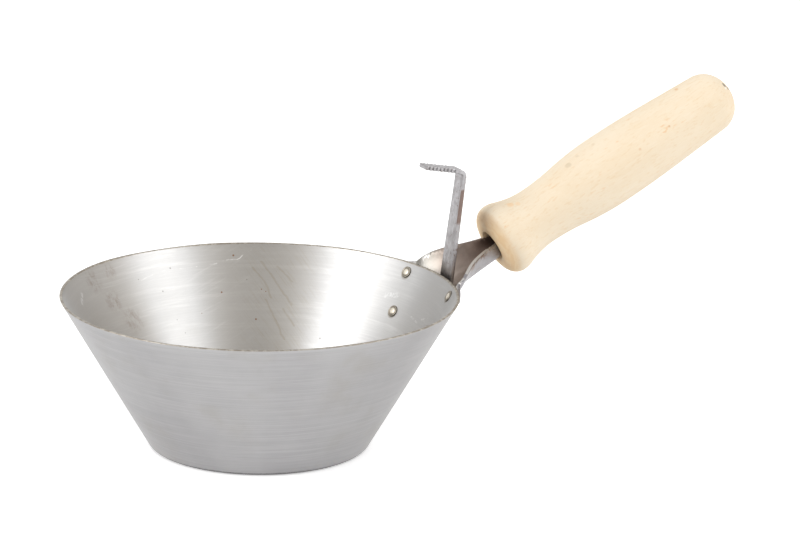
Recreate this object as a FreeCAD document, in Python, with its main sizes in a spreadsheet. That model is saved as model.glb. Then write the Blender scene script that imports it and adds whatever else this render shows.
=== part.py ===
"""Mason's pouring ladle: a conical sheet-steel bowl with a riveted handle bracket, a bucket hook
and a turned beech grip.

Frame: the origin is the centre of the bowl's flat base, +Z is up and +X runs along the handle.
Every piece is the same on both sides of the plane Y = 0, but for the rivets, which are all
set a little towards the right-hand side.
"""
import FreeCAD, Part

import math
import os

import Sketcher
from FreeCAD import Placement, Rotation, Vector

DIMENSIONS = {
    # bowl: a truncated cone spun from one sheet
    "rim_radius": 100.5,
    "base_radius": 55.2,
    "bowl_height": 77.7,
    "bowl_sheet": 1.2,
    "base_corner_radius": 4.0,
    # handle: one straight axis that climbs away from the bowl
    "grip_mouth_x": 130.3,
    "grip_mouth_z": 89.3,
    "handle_pitch": 27.4,
    # grip: turned beech, bored from its mouth for the tang; each radius has its place on the axis
    "grip_length": 154.0,
    "face_radius": 14.6,
    "face_rise": 1.3,
    "flange_radius": 19.3,
    "flange_at": 7.8,
    "waist_radius": 15.4,
    "waist_at": 29.5,
    "belly_radius": 18.9,
    "belly_at": 75.0,
    "taper_radius": 17.95,
    "taper_at": 109.0,
    "shoulder_round": 13.5,
    "nose_round": 18.6,
    "bore_radius": 6.8,
    "bore_depth": 78.0,
    "bore_point": 2.5,
    "mouth_radius": 8.4,
    "mouth_depth": 5.0,
    # bracket: one pressed sheet, a flange on the bowl drawn out into a gutter and a tang
    "bracket_sheet": 1.5,
    "gutter_floor": 4.9,
    "tang_length": 70.0,
    "seat_gap": 0.35,
    # rivets: two on each wing of the bracket's flange
    "upper_azimuth": 14.9,
    "upper_height": 72.5,
    "lower_azimuth": 13.3,
    "lower_height": 54.0,
    "rivet_drift": -0.5,
    "shank_radius": 2.0,
    "shank_gap": 0.05,
    "head_gap": 0.2,
    "head_radius": 3.8,
    "head_height": 1.7,
    "tail_radius": 2.9,
    "tail_height": 0.7,
    # hook: a flat bar that stands behind the rim, its tab turned back over the bowl
    "hook_width": 11.6,
    "hook_top_width": 9.0,
    "hook_sheet": 2.1,
    "hook_lean": 7.3,
    "hook_foot_x": 103.7,
    "hook_foot_z": 76.0,
    "hook_root": 14.0,
    "hook_rise": 54.8,
    "hook_bend_radius": 1.8,
    "tab_length": 21.2,
    "tab_turn": 86.7,
    "notch_pitch": 2.1,
    "notch_width": 0.9,
    "notch_depth": 0.8,
    "first_notch": 3.05,
}
NOTCHES = 8
DRILL_REACH = 6.0
OFFSET_TOLERANCE = 0.01
# how far a notch cutter stands out of each face of the hook's bar
OVERCUT = 0.5
# where the arcs of the grip's outline meet, as a share of the way to the next crown
FLANGE_SHARE = 0.23
WAIST_SHARE = 0.42
# share of the hook's rise over which its edges taper, and of a rivet end that stays flat
TAPER_SHARE = 0.85
FLAT_SHARE = 0.6

doc = FreeCAD.newDocument("pouring_ladle")
sheet = doc.addObject("Spreadsheet::Sheet", "dims")
for row, (name, value) in enumerate(DIMENSIONS.items(), start=1):
    sheet.set("A%d" % row, name)
    sheet.set("B%d" % row, str(value))
    sheet.setAlias("B%d" % row, name)
doc.recompute()


def size(name):
    """A driving dimension, read from the sheet."""
    return float(sheet.get(name))


# ------------------------------------------------------------------ shared geometry
WALL_SLOPE = (size("rim_radius") - size("base_radius")) / size("bowl_height")
WALL_ANGLE = math.atan(WALL_SLOPE)
PITCH = math.radians(size("handle_pitch"))


def on_wall(azimuth, z, gap):
    """Point outside the bowl's wall: azimuth in degrees, height, and distance off the wall."""
    radius = size("base_radius") + WALL_SLOPE * z + gap / math.cos(WALL_ANGLE)
    turn = math.radians(azimuth)
    return Vector(radius * math.cos(turn), radius * math.sin(turn), z)


def on_handle(along, side, above):
    """Point in the handle's frame: along its axis from the grip's mouth, sideways and above."""
    x = size("grip_mouth_x") + along * math.cos(PITCH) - above * math.sin(PITCH)
    z = size("grip_mouth_z") + along * math.sin(PITCH) + above * math.cos(PITCH)
    return Vector(x, side, z)


def wall_frame(azimuth, z):
    """Placement on the wall's outer face with its own Z axis square to the wall, outwards."""
    turn = math.radians(azimuth)
    outward = Vector(
        math.cos(WALL_ANGLE) * math.cos(turn),
        math.cos(WALL_ANGLE) * math.sin(turn),
        -math.sin(WALL_ANGLE),
    )
    return Placement(on_wall(azimuth, z, 0.0), Rotation(Vector(0, 0, 1), outward))


RIVET_FRAMES = [
    wall_frame(side * size(level + "_azimuth") + size("rivet_drift"), size(level + "_height"))
    for side in (-1, 1)
    for level in ("upper", "lower")
]


# ------------------------------------------------------------------ document helpers
def new_body(label):
    body = doc.addObject("PartDesign::Body", label + "_body")
    body.Label = label + " body"
    return body


def new_sketch(body, name, role):
    """Sketch on one of the body's own origin planes."""
    plane = next(item for item in body.Origin.OriginFeatures if item.Role == role)
    sketch = body.newObject("Sketcher::SketchObject", name)
    sketch.AttachmentSupport = [(plane, "")]
    sketch.MapMode = "FlatFace"
    return sketch


def chain(sketch, curves):
    """Adds curves that run end to end and ties each to the next where their ends meet."""
    for curve in curves:
        sketch.addGeometry(curve, False)
    count = len(curves)
    for i in range(count):
        following = (i + 1) % count
        gap, a, b = min(
            (sketch.getPoint(i, a).distanceToPoint(sketch.getPoint(following, b)), a, b)
            for a in (1, 2)
            for b in (1, 2)
        )
        sketch.addConstraint(Sketcher.Constraint("Coincident", i, a, following, b))


def line(a, b):
    return Part.LineSegment(Vector(a[0], a[1], 0), Vector(b[0], b[1], 0))


def drive(sketch, name, kind, where, expression, value):
    """Dimension of a sketch, bound to the sheet."""
    index = sketch.addConstraint(Sketcher.Constraint(kind, *where, value))
    sketch.renameConstraint(index, name)
    sketch.setExpression("Constraints." + name, expression)


def revolve(body, sketch, axis):
    turned = body.newObject("PartDesign::Revolution", sketch.Name + "_turned")
    turned.Profile = sketch
    turned.ReferenceAxis = (sketch, [axis])
    turned.Angle = 360.0
    return turned


def largest_solid(shape):
    return max(shape.Solids, key=lambda solid: solid.Volume)


def drilled(label, base):
    """The piece with the rivet holes cut through it."""
    tools = []
    for i, frame in enumerate(RIVET_FRAMES):
        drill = doc.addObject("Part::Cylinder", "%s_drill_%d" % (label, i + 1))
        drill.setExpression("Radius", "dims.shank_radius + dims.shank_gap")
        drill.Height = 2 * DRILL_REACH
        drill.Placement = frame.multiply(Placement(Vector(0, 0, -DRILL_REACH), Rotation()))
        tools.append(drill)
    drills = doc.addObject("Part::MultiFuse", label + "_drills")
    drills.Shapes = tools
    piece = doc.addObject("Part::Cut", label)
    piece.Base = base
    piece.Tool = drills
    piece.Label = label
    return piece


# ------------------------------------------------------------------ bowl
def make_bowl():
    """Truncated cone with a flat base, a rounded base corner and a raw cut rim."""
    body = new_body("bowl")
    sketch = new_sketch(body, "bowl_profile", "XZ_Plane")
    base, rim, height = size("base_radius"), size("rim_radius"), size("bowl_height")
    corners = [(0, 0), (base, 0), (rim, height), (0, height)]
    chain(sketch, [line(corners[i], corners[(i + 1) % 4]) for i in range(4)])
    sketch.addConstraint(Sketcher.Constraint("Coincident", 0, 1, -1, 1))
    sketch.addConstraint(Sketcher.Constraint("Horizontal", 0))
    sketch.addConstraint(Sketcher.Constraint("Horizontal", 2))
    sketch.addConstraint(Sketcher.Constraint("Vertical", 3))
    drive(sketch, "base", "DistanceX", (0, 1, 0, 2), "dims.base_radius", base)
    drive(sketch, "rim", "DistanceX", (2, 2, 2, 1), "dims.rim_radius", rim)
    drive(sketch, "height", "DistanceY", (3, 2, 3, 1), "dims.bowl_height", height)
    turned = revolve(body, sketch, "V_Axis")
    doc.recompute()

    corner = body.newObject("PartDesign::Fillet", "base_corner")
    corner.Base = (turned, [lowest_edge(turned.Shape)])
    corner.setExpression("Radius", "dims.base_corner_radius")
    doc.recompute()

    wall = body.newObject("PartDesign::Thickness", "sheet_wall")
    wall.Base = (corner, [top_face(corner.Shape)])
    wall.setExpression("Value", "dims.bowl_sheet")
    wall.Reversed = True
    doc.recompute()
    return drilled("bowl", body)


def lowest_edge(shape):
    """Name of the lowest circular edge."""
    rings = [
        (edge.BoundBox.ZMax, i)
        for i, edge in enumerate(shape.Edges, start=1)
        if isinstance(edge.Curve, Part.Circle)
    ]
    return "Edge%d" % min(rings)[1]


def top_face(shape):
    """Name of the flat face on top."""
    tops = [
        (face.CenterOfMass.z, i)
        for i, face in enumerate(shape.Faces, start=1)
        if isinstance(face.Surface, Part.Plane)
    ]
    return "Face%d" % max(tops)[1]


# ------------------------------------------------------------------ grip
def far_heading(p, q, heading):
    """Heading at the far end of the arc through p and q, from its heading at the near end."""
    return 2 * math.atan2(q[1] - p[1], q[0] - p[0]) - heading


def tangent_arc(p, q, heading):
    """Arc from p to q that leaves p at a heading."""
    chord = math.atan2(q[1] - p[1], q[0] - p[0])
    bulge = math.dist(p, q) / 2 * math.tan((chord - heading) / 2)
    middle = Vector(
        (p[0] + q[0]) / 2 + bulge * math.sin(chord),
        (p[1] + q[1]) / 2 - bulge * math.cos(chord),
        0,
    )
    return Part.Arc(Vector(p[0], p[1], 0), middle, Vector(q[0], q[1], 0))


def ogee(p, q, share):
    """Two tangent arcs from p to q, level at both ends, that meet on the line between them."""
    joint = (p[0] + (q[0] - p[0]) * share, p[1] + (q[1] - p[1]) * share)
    return [tangent_arc(p, joint, 0.0), tangent_arc(joint, q, far_heading(p, joint, 0.0))]


def rounded_end(start, heading, length):
    """Straight taper from start, a shoulder arc and a nose arc that is square to the axis."""
    shoulder, nose = size("shoulder_round"), size("nose_round")
    nose_centre = Vector(length - nose, 0, 0)
    along = Vector(math.cos(heading), math.sin(heading), 0)
    inwards = Vector(along.y, -along.x, 0)
    track = Vector(start[0], start[1], 0) + inwards * shoulder - nose_centre
    run = -track.dot(along) + math.sqrt(
        track.dot(along) ** 2 - track.dot(track) + (nose - shoulder) ** 2
    )
    shoulder_centre = nose_centre + track + along * run
    taper_end = shoulder_centre - inwards * shoulder
    joint = nose_centre + (shoulder_centre - nose_centre) * (nose / (nose - shoulder))
    end, meet, tip = (taper_end.x, taper_end.y), (joint.x, joint.y), (length, 0.0)
    return [
        line(start, end),
        tangent_arc(end, meet, heading),
        tangent_arc(meet, tip, far_heading(end, meet, heading)),
    ]


def grip_outline(mouth, length):
    """Turned outline from the mouth over flange, waist and belly to the tip, as tangent arcs."""
    face = (size("face_rise"), size("face_radius"))
    flange = (size("flange_at"), size("flange_radius"))
    waist = (size("waist_at"), size("waist_radius"))
    belly = (size("belly_at"), size("belly_radius"))
    taper = (size("taper_at"), size("taper_radius"))
    corner_heading = far_heading(face, flange, 0.0)
    face_heading = far_heading((0.0, mouth), face, corner_heading)
    curves = [
        tangent_arc((0.0, mouth), face, face_heading),
        tangent_arc(face, flange, corner_heading),
    ]
    curves += ogee(flange, waist, FLANGE_SHARE)
    curves += ogee(waist, belly, WAIST_SHARE)
    curves.append(tangent_arc(belly, taper, 0.0))
    return curves + rounded_end(taper, far_heading(belly, taper, 0.0), length)


def make_grip():
    """Turned handle, revolved about the handle's axis, with a countersunk blind bore."""
    body = new_body("grip")
    sketch = new_sketch(body, "grip_profile", "XZ_Plane")
    length, bore, depth = size("grip_length"), size("bore_radius"), size("bore_depth")
    mouth, sink = size("mouth_radius"), size("mouth_depth")
    outline = grip_outline(mouth, length)
    back, bored = (depth + size("bore_point"), 0.0), (depth, bore)
    chain(sketch, outline + [
        line((length, 0.0), back),
        line(back, bored),
        line(bored, (sink, bore)),
        line((sink, bore), (0.0, mouth)),
    ])
    axis_line = len(outline)
    drill_point, wall = axis_line + 1, axis_line + 2
    sketch.addConstraint(Sketcher.Constraint("Horizontal", axis_line))
    sketch.addConstraint(Sketcher.Constraint("Horizontal", wall))
    drive(sketch, "bore", "DistanceY", (-1, 1, wall, 1), "dims.bore_radius", bore)
    drive(sketch, "depth", "DistanceX", (-1, 1, wall, 1), "dims.bore_depth", depth)
    drive(sketch, "sink", "DistanceX", (-1, 1, wall, 2), "dims.mouth_depth", sink)
    point = (drill_point, 2, drill_point, 1)
    drive(sketch, "point", "DistanceX", point, "dims.bore_point", size("bore_point"))
    revolve(body, sketch, "H_Axis")
    doc.recompute()

    body.Label = "grip"
    body.Placement = Placement(
        Vector(size("grip_mouth_x"), 0, size("grip_mouth_z")),
        Rotation(Vector(0, 1, 0), -size("handle_pitch")),
    )
    return body


# ------------------------------------------------------------------ handle bracket
# Each row runs from the middle of the bracket's floor round to its top edge.
# Flange rows lie on the bowl's wall: (azimuth, height).
FLANGE_ROWS = [
    [(0, 47.0), (8.5, 47.0), (17.5, 50.0), (21.5, 62.5), (23.6, 74.6)],
    [(0, 49.5), (7.5, 49.5), (16.0, 53.0), (19.4, 64.0), (20.8, 76.0)],
    [(0, 52.5), (6.5, 52.5), (13.5, 56.0), (15.8, 65.5), (16.6, 77.6)],
    [(0, 56.5), (5.0, 56.5), (10.6, 60.0), (13.2, 67.0), (12.8, 78.6)],
]
# Gutter rows leave the wall: where the floor and the top edge stand along the handle, the floor's
# half width, and (sideways, above the axis) of the points that climb the gutter's side.
GUTTER_ROWS = [
    (-44.8, -30.0, 5.5, [(13.0, -4.4), (20.6, -1.4), (24.2, 5.4)]),
    (-38.2, -24.6, 5.0, [(10.9, -4.0), (17.0, -0.6), (20.4, 6.7)]),
    (-30.2, -19.2, 4.6, [(8.8, -3.4), (13.0, 0.6), (16.0, 6.9)]),
    (-21.2, -13.2, 4.2, [(7.6, -2.8), (10.2, 0.8), (12.2, 6.1)]),
    (-12.2, -7.7, 3.9, [(6.6, -2.3), (8.0, 0.9), (9.0, 5.0)]),
    (-5.0, -3.5, 3.5, [(5.9, -1.9), (6.8, 0.9), (7.3, 4.2)]),
    (-0.5, -0.5, 3.2, [(5.3, -1.9), (5.8, 0.9), (5.6, 3.4)]),
]
# Tang rows are one open ring, smaller at the tip: (along the handle, scale).
TANG_HALF_FLOOR = 3.0
TANG_SIDE = [(5.0, -2.1), (5.1, 0.9), (4.0, 2.9)]
TANG_STATIONS = [(4.5, 0.97), (13.0, 1.0), (36.0, 1.0), (58.0, 0.94), (70.0, 0.7)]
# How far each point of a row has moved from the floor's station to the edge's.
RISE_SHARE = (0.0, 0.05, 0.3, 0.7, 1.0)


def handle_row(floor_at, edge_at, half_floor, side_points, scale=1.0):
    """Points of a row in the handle's frame: two on the gutter's floor, then up its side."""
    floor = -size("gutter_floor")
    section = [(0.0, floor), (half_floor, floor)] + side_points
    return [
        on_handle(floor_at + (edge_at - floor_at) * share, side * scale, above * scale)
        for share, (side, above) in zip(RISE_SHARE, section)
    ]


def even_knots(count):
    """Knots and multiplicities of a clamped cubic with so many poles."""
    spans = count - 3
    return [float(i) for i in range(spans + 1)], [4] + [1] * (spans - 1) + [4]


def make_bracket():
    """Inner face of the pressed sheet as one smooth surface, thickened outwards."""
    halves = [[on_wall(a, z, size("seat_gap")) for a, z in row] for row in FLANGE_ROWS]
    halves += [handle_row(*row) for row in GUTTER_ROWS]
    stretch = size("tang_length") / TANG_STATIONS[-1][0]
    for station, scale in TANG_STATIONS:
        at = station * stretch
        halves.append(handle_row(at, at, TANG_HALF_FLOOR, TANG_SIDE, scale))
    rows = [[Vector(p.x, -p.y, p.z) for p in half[:0:-1]] + half for half in halves]

    along_knots, along_mults = even_knots(len(rows))
    round_knots, round_mults = even_knots(len(rows[0]))
    inner = Part.BSplineSurface()
    inner.buildFromPolesMultsKnots(
        rows, along_mults, round_mults, along_knots, round_knots, False, False, 3, 3
    )
    pressed = doc.addObject("Part::Feature", "pressed_sheet")
    pressed.Shape = thickened(inner.toShape())
    return drilled("handle_bracket", pressed)


def thickened(face):
    """Solid sheet on the outer side of the face, which is the side away from the bowl."""
    for offset in (size("bracket_sheet"), -size("bracket_sheet")):
        solid = face.makeOffsetShape(offset, OFFSET_TOLERANCE, fill=True)
        if solid.BoundBox.ZMin < face.BoundBox.ZMin - size("bracket_sheet") / 4:
            return solid
    raise RuntimeError("the bracket sheet could not be thickened")


# ------------------------------------------------------------------ rivets
def make_rivets(bracket):
    """One pan-head rivet set four times, each head fitted down on the bracket's curved sheet."""
    body = new_body("rivet")
    sketch = new_sketch(body, "rivet_profile", "XZ_Plane")
    shank, head, tail = size("shank_radius"), size("head_radius"), size("tail_radius")
    inside = -size("bowl_sheet") - size("shank_gap")
    outside = size("seat_gap") + size("bracket_sheet") + size("head_gap")
    top, bottom = outside + size("head_height"), inside - size("tail_height")
    corners = [
        (0, bottom),
        (tail * FLAT_SHARE, bottom),
        (tail, (bottom + inside) / 2),
        (tail, inside),
        (shank, inside),
        (shank, outside),
        (head, outside),
        (head, (outside + top) / 2),
        (head * FLAT_SHARE, top),
        (0, top),
    ]
    chain(sketch, [line(a, b) for a, b in zip(corners, corners[1:] + corners[:1])])
    revolve(body, sketch, "V_Axis")
    doc.recompute()
    fitted = []
    for frame in RIVET_FRAMES:
        blank = body.Shape.transformed(frame.toMatrix(), copy=True)
        fitted.append(largest_solid(blank.cut(bracket.Shape)))
    rivets = doc.addObject("Part::Feature", "rivets")
    rivets.Shape = Part.makeCompound(fitted)
    rivets.Label = "rivets"
    return rivets


# ------------------------------------------------------------------ hook
def make_hook(bracket):
    """Flat bar, bent once; its foot is cut to sit on the gutter's floor."""
    body = new_body("hook")
    sketch = new_sketch(body, "hook_profile", "XZ_Plane")
    rise, bar, inner = size("hook_rise"), size("hook_sheet"), size("hook_bend_radius")
    turn = math.radians(size("tab_turn"))
    outer = inner + bar
    centre = Vector(-inner, rise - inner, 0)

    def on_bend(radius, angle):
        return centre + Vector(radius * math.cos(angle), radius * math.sin(angle), 0)

    def along_tab(point):
        step = size("tab_length") - inner
        return point + Vector(-math.sin(turn) * step, math.cos(turn) * step, 0)

    foot = -size("hook_root")
    inner_end, outer_end = on_bend(inner, turn), on_bend(outer, turn)
    curves = [
        line((0, foot), (0, centre.y)),
        Part.Arc(Vector(0, centre.y, 0), on_bend(inner, turn / 2), inner_end),
        Part.LineSegment(inner_end, along_tab(inner_end)),
        Part.LineSegment(along_tab(inner_end), along_tab(outer_end)),
        Part.LineSegment(along_tab(outer_end), outer_end),
        Part.Arc(outer_end, on_bend(outer, turn / 2), Vector(bar, centre.y, 0)),
        line((bar, centre.y), (bar, foot)),
        line((bar, foot), (0, foot)),
    ]
    for curve in curves:
        sketch.addGeometry(curve, False)
    pad = body.newObject("PartDesign::Pad", "hook_bar")
    pad.Profile = sketch
    pad.setExpression("Length", "dims.hook_width")
    pad.Midplane = True
    taper_hook(body, rise, foot)
    stand = Placement(
        Vector(size("hook_foot_x"), 0, size("hook_foot_z")),
        Rotation(Vector(0, 1, 0), size("hook_lean")),
    )
    body.Placement = stand

    notches = []
    tab = Rotation(Vector(0, 1, 0), -size("tab_turn"))
    for i in range(NOTCHES):
        for side in (-1, 1):
            notch = doc.addObject("Part::Box", "notch_%d" % (len(notches) + 1))
            notch.setExpression("Length", "dims.hook_sheet + %g" % (2 * OVERCUT))
            notch.setExpression("Width", "2 * dims.notch_depth")
            notch.setExpression("Height", "dims.notch_width")
            reach = size("first_notch") + i * size("notch_pitch")
            start = Vector(inner_end.x, 0, inner_end.y) + tab.multVec(Vector(-OVERCUT, 0, reach))
            corner = start + Vector(0, side * size("hook_top_width") / 2 - size("notch_depth"), 0)
            notch.Placement = stand.multiply(Placement(corner, tab))
            notches.append(notch)
    cutters = doc.addObject("Part::MultiFuse", "notch_cutters")
    cutters.Shapes = notches
    notched = doc.addObject("Part::Cut", "notched_bar")
    notched.Base = body
    notched.Tool = cutters
    doc.recompute()

    hook = doc.addObject("Part::Feature", "hook")
    hook.Shape = largest_solid(notched.Shape.cut(bracket.Shape))
    hook.Label = "hook"
    return hook


def taper_hook(body, rise, foot):
    """Trims both edges of the bar, from full width at the rim to the tab's width at the bend."""
    sketch = new_sketch(body, "hook_taper", "YZ_Plane")
    wide, slim = size("hook_width") / 2, size("hook_top_width") / 2
    above = rise + 3 * size("hook_sheet") + size("tab_length")
    for side in (-1, 1):
        corners = [
            (side * wide, 0),
            (side * slim, rise * TAPER_SHARE),
            (side * slim, above),
            (side * 2 * wide, above),
            (side * 2 * wide, 0),
        ]
        for a, b in zip(corners, corners[1:] + corners[:1]):
            sketch.addGeometry(line(a, b), False)
    pocket = body.newObject("PartDesign::Pocket", "hook_tapered")
    pocket.Profile = sketch
    pocket.Type = "ThroughAll"
    pocket.Midplane = True


# ------------------------------------------------------------------ build, check, write
bowl = make_bowl()
grip = make_grip()
bracket = make_bracket()
doc.recompute()
rivets = make_rivets(bracket)
hook = make_hook(bracket)
doc.recompute()

for item in doc.Objects:
    if "Invalid" in item.State or "Error" in item.State:
        raise RuntimeError("%s did not recompute: %s" % (item.Name, item.State))

os.makedirs("parts", exist_ok=True)
for piece in (bowl, grip, bracket, rivets, hook):
    shape = piece.Shape
    if shape.isNull() or not shape.isValid():
        raise RuntimeError("%s has no valid shape" % piece.Label)
    shape.exportStep("parts/%s.step" % piece.Label)
    box = shape.BoundBox
    print("%-16s solids %d  volume %9.1f  X %7.2f %7.2f  Y %6.2f %6.2f  Z %6.2f %6.2f" % (
        piece.Label, len(shape.Solids), shape.Volume,
        box.XMin, box.XMax, box.YMin, box.YMax, box.ZMin, box.ZMax))
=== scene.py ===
# %% [markdown]
# # A mason's pouring ladle
#
# The ladle is a bowl of sheet steel, spun to a cone. A pressed steel bracket is riveted to it and
# carries a turned beech grip, and a flat bar behind the rim is bent over to hang the ladle on a
# bucket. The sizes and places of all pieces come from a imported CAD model, which this script loads
# first and never moves. The script adds what makes the pieces look real: soft edges, hammered
# rivets, brushed and rusted steel, and the grain of the wood.

import math

import bmesh
import bpy
from mathutils import Matrix, Quaternion, Vector, noise


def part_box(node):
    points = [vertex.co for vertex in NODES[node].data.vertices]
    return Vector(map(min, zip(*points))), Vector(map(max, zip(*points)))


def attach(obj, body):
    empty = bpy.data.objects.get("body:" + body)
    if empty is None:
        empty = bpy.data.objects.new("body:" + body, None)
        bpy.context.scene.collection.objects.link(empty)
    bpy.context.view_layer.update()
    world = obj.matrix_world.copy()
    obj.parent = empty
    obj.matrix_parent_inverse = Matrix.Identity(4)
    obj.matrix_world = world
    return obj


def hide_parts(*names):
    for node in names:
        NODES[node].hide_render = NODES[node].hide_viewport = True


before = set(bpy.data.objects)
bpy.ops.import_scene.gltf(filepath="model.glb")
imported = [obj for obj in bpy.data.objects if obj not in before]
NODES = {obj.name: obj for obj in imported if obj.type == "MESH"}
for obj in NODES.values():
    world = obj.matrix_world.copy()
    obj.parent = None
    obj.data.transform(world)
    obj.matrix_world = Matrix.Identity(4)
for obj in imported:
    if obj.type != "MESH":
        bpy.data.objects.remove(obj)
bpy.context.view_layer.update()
MM = 0.001
print("nodes:", sorted(NODES))

# %% [markdown]
# ## Driving sizes
#
# Each size is read from the frame where it can be: the rim's radius is half the bowl's width, and
# its height is the top of the bowl's box. What the frame can't say, such as the sheet's
# thickness, is a named value here.

# %% Sizes
BOWL_LOW, BOWL_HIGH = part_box("bowl")
RIM_RADIUS = BOWL_HIGH.x
BOWL_HEIGHT = BOWL_HIGH.z
BASE_RADIUS = 55.2 * MM
BOWL_SHEET = 1.2 * MM
BASE_CORNER = 4.0 * MM
WALL_SLOPE = (RIM_RADIUS - BASE_RADIUS) / BOWL_HEIGHT
WALL_ANGLE = math.atan(WALL_SLOPE)

MOUTH = Vector((130.3, 0.0, 89.3)) * MM
PITCH = math.radians(27.4)
ALONG = Vector((math.cos(PITCH), 0.0, math.sin(PITCH)))
ABOVE = Vector((-math.sin(PITCH), 0.0, math.cos(PITCH)))
HANDLE_FRAME = Matrix.Translation(MOUTH) @ Matrix((
    (ALONG.x, 0.0, ABOVE.x, 0.0),
    (ALONG.y, 1.0, ABOVE.y, 0.0),
    (ALONG.z, 0.0, ABOVE.z, 0.0),
    (0.0, 0.0, 0.0, 1.0),
))
print("rim radius", round(RIM_RADIUS / MM, 1), "height", round(BOWL_HEIGHT / MM, 1))


def polar(azimuth, distance, height):
    """A point from its turn about Z in degrees, its distance from the axis and its height."""
    turn = math.radians(azimuth)
    return Vector((distance * math.cos(turn), distance * math.sin(turn), height))


def wall_radius(height):
    """Radius of the bowl's outer face at a height."""
    return BASE_RADIUS + WALL_SLOPE * height


def inner_wall(azimuth, height_mm):
    """A point on the bowl's inner face."""
    height = height_mm * MM
    inset = BOWL_SHEET / math.cos(WALL_ANGLE)
    return polar(azimuth, wall_radius(height) - inset, height)


def on_grip(along_mm, azimuth, radius_mm):
    """A point by its way along the grip and its turn about the grip's axis, 90 being the top."""
    turn = math.radians(azimuth)
    local = Vector((along_mm, radius_mm * math.cos(turn), radius_mm * math.sin(turn))) * MM
    return HANDLE_FRAME @ local


# %% [markdown]
# ## Helpers for meshes
#
# A turned or spun piece starts as one edge chain, its half section, and the spin operator carries
# it round. Spin leaves the seam and the poles doubled, so nearby points are merged afterwards, and
# the faces are turned to point outwards.

# %% Mesh helpers
def new_piece(name, mesh_data):
    piece = bpy.data.objects.new(name, mesh_data)
    bpy.context.scene.collection.objects.link(piece)
    return piece


def finish_mesh(bm, name, smooth=True):
    """Merges doubles, turns faces outwards and makes the object."""
    bmesh.ops.remove_doubles(bm, verts=bm.verts, dist=0.002 * MM)
    bmesh.ops.recalc_face_normals(bm, faces=bm.faces)
    data = bpy.data.meshes.new(name)
    bm.to_mesh(data)
    bm.free()
    for polygon in data.polygons:
        polygon.use_smooth = smooth
    piece = new_piece(name, data)
    print(name, "faces", len(data.polygons))
    return piece


def chain_edges(bm, points):
    """One edge chain through the points, returned as its verts and edges."""
    verts = [bm.verts.new(p) for p in points]
    edges = [bm.edges.new(pair) for pair in zip(verts, verts[1:])]
    return verts + edges


def arc_points(centre, radius, start, end, steps):
    """Points on an arc about a centre, from one angle to another in degrees."""
    out = []
    for i in range(steps + 1):
        turn = math.radians(start + (end - start) * i / steps)
        out.append((centre[0] + radius * math.cos(turn), centre[1] + radius * math.sin(turn)))
    return out


def spaced(a, b, steps):
    """Points strictly between a and b."""
    return [
        (a[0] + (b[0] - a[0]) * i / steps, a[1] + (b[1] - a[1]) * i / steps)
        for i in range(1, steps)
    ]


# %% [markdown]
# ## The bowl
#
# The bowl is one sheet, spun over a form and cut off at the rim. Its half section is a flat base,
# a rounded corner, a straight wall, and the same again one sheet thickness further in. A hand
# tool is never quite round, so the finished mesh is pushed about by a few tenths of a millimetre.

# %% Bowl mesh
BOWL_STEPS = 288
WALL_STEPS = 30
FLOOR_STEPS = 14
CORNER_STEPS = 8
RIM_ROUND = 0.35 * MM
RIM_CHAMFER = 0.1 * MM


def bowl_side(inset):
    """One face of the sheet from the axis to the rim, as (radius, height)."""
    reach = BASE_CORNER * math.tan((math.pi / 2 - WALL_ANGLE) / 2)
    centre = (BASE_RADIUS - reach, BASE_CORNER)
    wall_starts = -math.degrees(WALL_ANGLE)
    corner = arc_points(centre, BASE_CORNER - inset, -90, wall_starts, CORNER_STEPS)
    middle = (0.0, inset)
    top_height = BOWL_HEIGHT - RIM_ROUND
    top = (wall_radius(top_height) - inset / math.cos(WALL_ANGLE), top_height)
    floor_part = [middle] + spaced(middle, corner[0], FLOOR_STEPS)
    return floor_part + corner + spaced(corner[-1], top, WALL_STEPS) + [top]


# How far the noise may move the wall sideways and the rim up or down.
WALL_WAVE = 0.55 * MM
WALL_RIPPLE = 0.12 * MM
RIM_WAVE = 0.22 * MM
RIM_SHARE = 0.97


def make_bowl():
    outer = bowl_side(0.0)
    inner = bowl_side(BOWL_SHEET)
    lip = [
        (outer[-1][0] - RIM_CHAMFER, BOWL_HEIGHT),
        (inner[-1][0] + RIM_CHAMFER, BOWL_HEIGHT),
    ]
    section = outer + lip + inner[::-1]
    bm = bmesh.new()
    geometry = chain_edges(bm, [Vector((r, 0.0, z)) for r, z in section])
    bmesh.ops.spin(
        bm, geom=geometry, cent=(0, 0, 0), axis=(0, 0, 1),
        angle=math.tau, steps=BOWL_STEPS, use_merge=True,
    )
    for vert in bm.verts:
        push_by_hand(vert)
    return finish_mesh(bm, "ladle_bowl")


def push_by_hand(vert):
    """A few tenths of a millimetre of unevenness that grows towards the rim."""
    share = max(0.0, vert.co.z / BOWL_HEIGHT)
    out = Vector((vert.co.x, vert.co.y, 0.0))
    if out.length < 1.0 * MM:
        return
    out.normalize()
    wave = noise.noise(Vector((out.x * 1.6, out.y * 1.6, share * 0.7)))
    ripple = noise.noise(Vector((out.x * 6.0, out.y * 6.0, 3.0 + share)))
    clear_of_bracket = 1.0 - max(0.0, out.x) ** 8
    push = (WALL_WAVE * wave + WALL_RIPPLE * ripple) * clear_of_bracket
    vert.co += out * share * push
    if share > RIM_SHARE:
        vert.co.z += RIM_WAVE * noise.noise(Vector((out.x * 3.1, out.y * 3.1, 9.0)))


bowl = make_bowl()
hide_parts("bowl")
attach(bowl, "root")


# %% [markdown]
# ## The grip
#
# The grip is turned from one length of beech. The half section runs from the bottom of the bore to
# the mouth, round the flange, down to the waist, out to the belly and over the end. The outline is
# a chain of arcs that meet without a corner, which is how a turner's template is drawn.

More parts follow.
